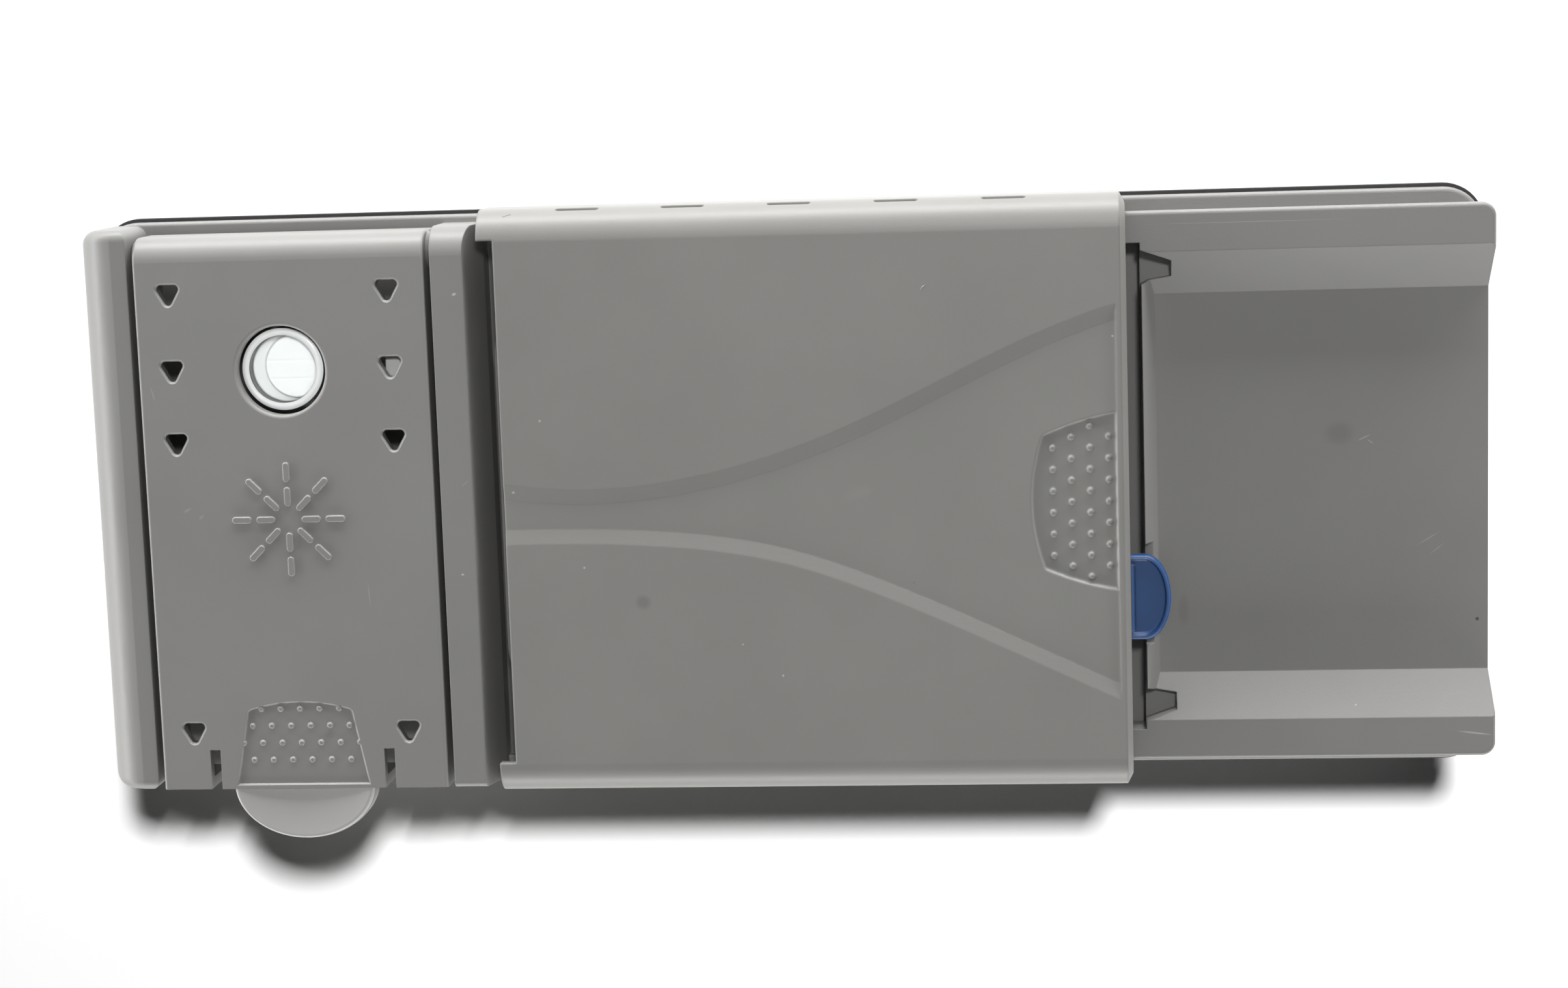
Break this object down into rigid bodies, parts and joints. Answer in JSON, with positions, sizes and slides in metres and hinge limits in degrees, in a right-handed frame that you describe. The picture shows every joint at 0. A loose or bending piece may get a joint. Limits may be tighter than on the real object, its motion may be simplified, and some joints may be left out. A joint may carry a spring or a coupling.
{
  "type": "dishwasher detergent dispenser",
  "caption": "Door-mounted detergent dispenser: sliding cover over a wash cup and prewash tray, hinged rinse-aid flap with sight lens, latch, dosing pump and coil actuator.",
  "frame": {"origin": "middle of the door opening, in the plane where the gasket seats on the door", "axes": "+X along the length towards the prewash tray, +Y up the door, +Z out of the door towards the user"},
  "size_m": [0.23, 0.104, 0.0515],
  "materials": {
    "grey_polypropylene": "moulded, fine matt texture",
    "cover_polypropylene": "moulded, fine matt texture",
    "flap_polypropylene": "moulded, fine matt texture",
    "black_gasket_rubber": "matt",
    "dark_seal_rubber": "matt",
    "clear_lens_plastic": "polished, clear",
    "dial_acetal": "moulded, satin",
    "natural_polypropylene": "moulded, milky",
    "white_acetal": "moulded, satin",
    "blue_acetal": "moulded, satin",
    "spring_steel": "drawn wire, bright",
    "bright_steel": "turned, bright",
    "zinc_plated_steel": "zinc plated",
    "housing_polypropylene": "moulded, matt",
    "bobbin_polyamide": "moulded, matt",
    "taped_winding": "wound and taped",
    "tinned_brass": "tin plated"
  },
  "bodies": {
    "frame": {"base_frame": "grey_polypropylene", "flange_gasket": "black_gasket_rubber", "cup_seal": "dark_seal_rubber", "level_lens": "clear_lens_plastic", "lens_seal": "dark_seal_rubber", "filler_strainer": "natural_polypropylene", "rinse_tank": "natural_polypropylene", "latch_pin": "bright_steel", "latch_spring": "spring_steel", "cover_spring": "spring_steel", "actuator_housing": "housing_polypropylene", "lever_pin": "bright_steel", "armature_spring": "spring_steel", "piston_spring": "spring_steel", "coil_bobbin": "bobbin_polyamide", "coil_winding": "taped_winding", "coil_yoke": "zinc_plated_steel", "yoke_plate": "zinc_plated_steel", "coil_core": "bright_steel", "coil_blades": "tinned_brass", "housing_screws": "zinc_plated_steel", "door_clips": "spring_steel"},
    "cover": {"sliding_cover": "cover_polypropylene"},
    "flap": {"rinse_flap": "flap_polypropylene", "flap_seal": "dark_seal_rubber"},
    "latch_body": {"latch": "blue_acetal"},
    "dial": {"dosing_dial": "dial_acetal"},
    "armature_body": {"armature": "bright_steel"},
    "lever_body": {"trip_lever": "white_acetal"},
    "dosing_link": {"link_bar": "white_acetal", "dosing_piston": "white_acetal", "piston_seal": "dark_seal_rubber"}
  },
  "joints": [
    {"name": "cover_slide", "type": "slide", "parent": "frame", "child": "cover", "axis": [1, 0, 0], "range_m": [0, 0.055], "deforming": ["cover_spring"]},
    {"name": "flap_hinge", "type": "hinge", "parent": "frame", "child": "flap", "pos_m": [-0.08065, 0.0417, 0.0115], "axis": [-1, 0, 0], "range_deg": [0, 100]},
    {"name": "latch_pivot", "type": "hinge", "parent": "frame", "child": "latch_body", "pos_m": [0.044, -0.0175, 0.0079], "axis": [0, 1, 0], "range_deg": [0, 7], "stiffness_Nm_per_rad": 0.15, "deforming": ["latch_spring"]},
    {"name": "dial_turn", "type": "hinge", "parent": "frame", "child": "dial", "pos_m": [-0.081, -0.031, 0.0068], "axis": [0, 0, -1], "range_deg": [0, 225]},
    {"name": "armature_slide", "type": "slide", "parent": "frame", "child": "armature_body", "axis": [1, 0, 0], "range_m": [0, 0.003], "stiffness_N_per_m": 250, "deforming": ["armature_spring"]},
    {"name": "lever_pivot", "type": "hinge", "parent": "frame", "child": "lever_body", "pos_m": [0.052, -0.02, -0.011], "axis": [0, -1, 0], "range_deg": [0, 15.7]},
    {"name": "link_slide", "type": "slide", "parent": "frame", "child": "dosing_link", "axis": [-1, 0, 0], "range_m": [0, 0.0021], "deforming": ["piston_spring"]}
  ],
  "couplings": [
    {"joint": "lever_pivot", "follows": "armature_slide", "rad_per_m": 90.9},
    {"joint": "link_slide", "follows": "armature_slide", "ratio": 0.68}
  ]
}
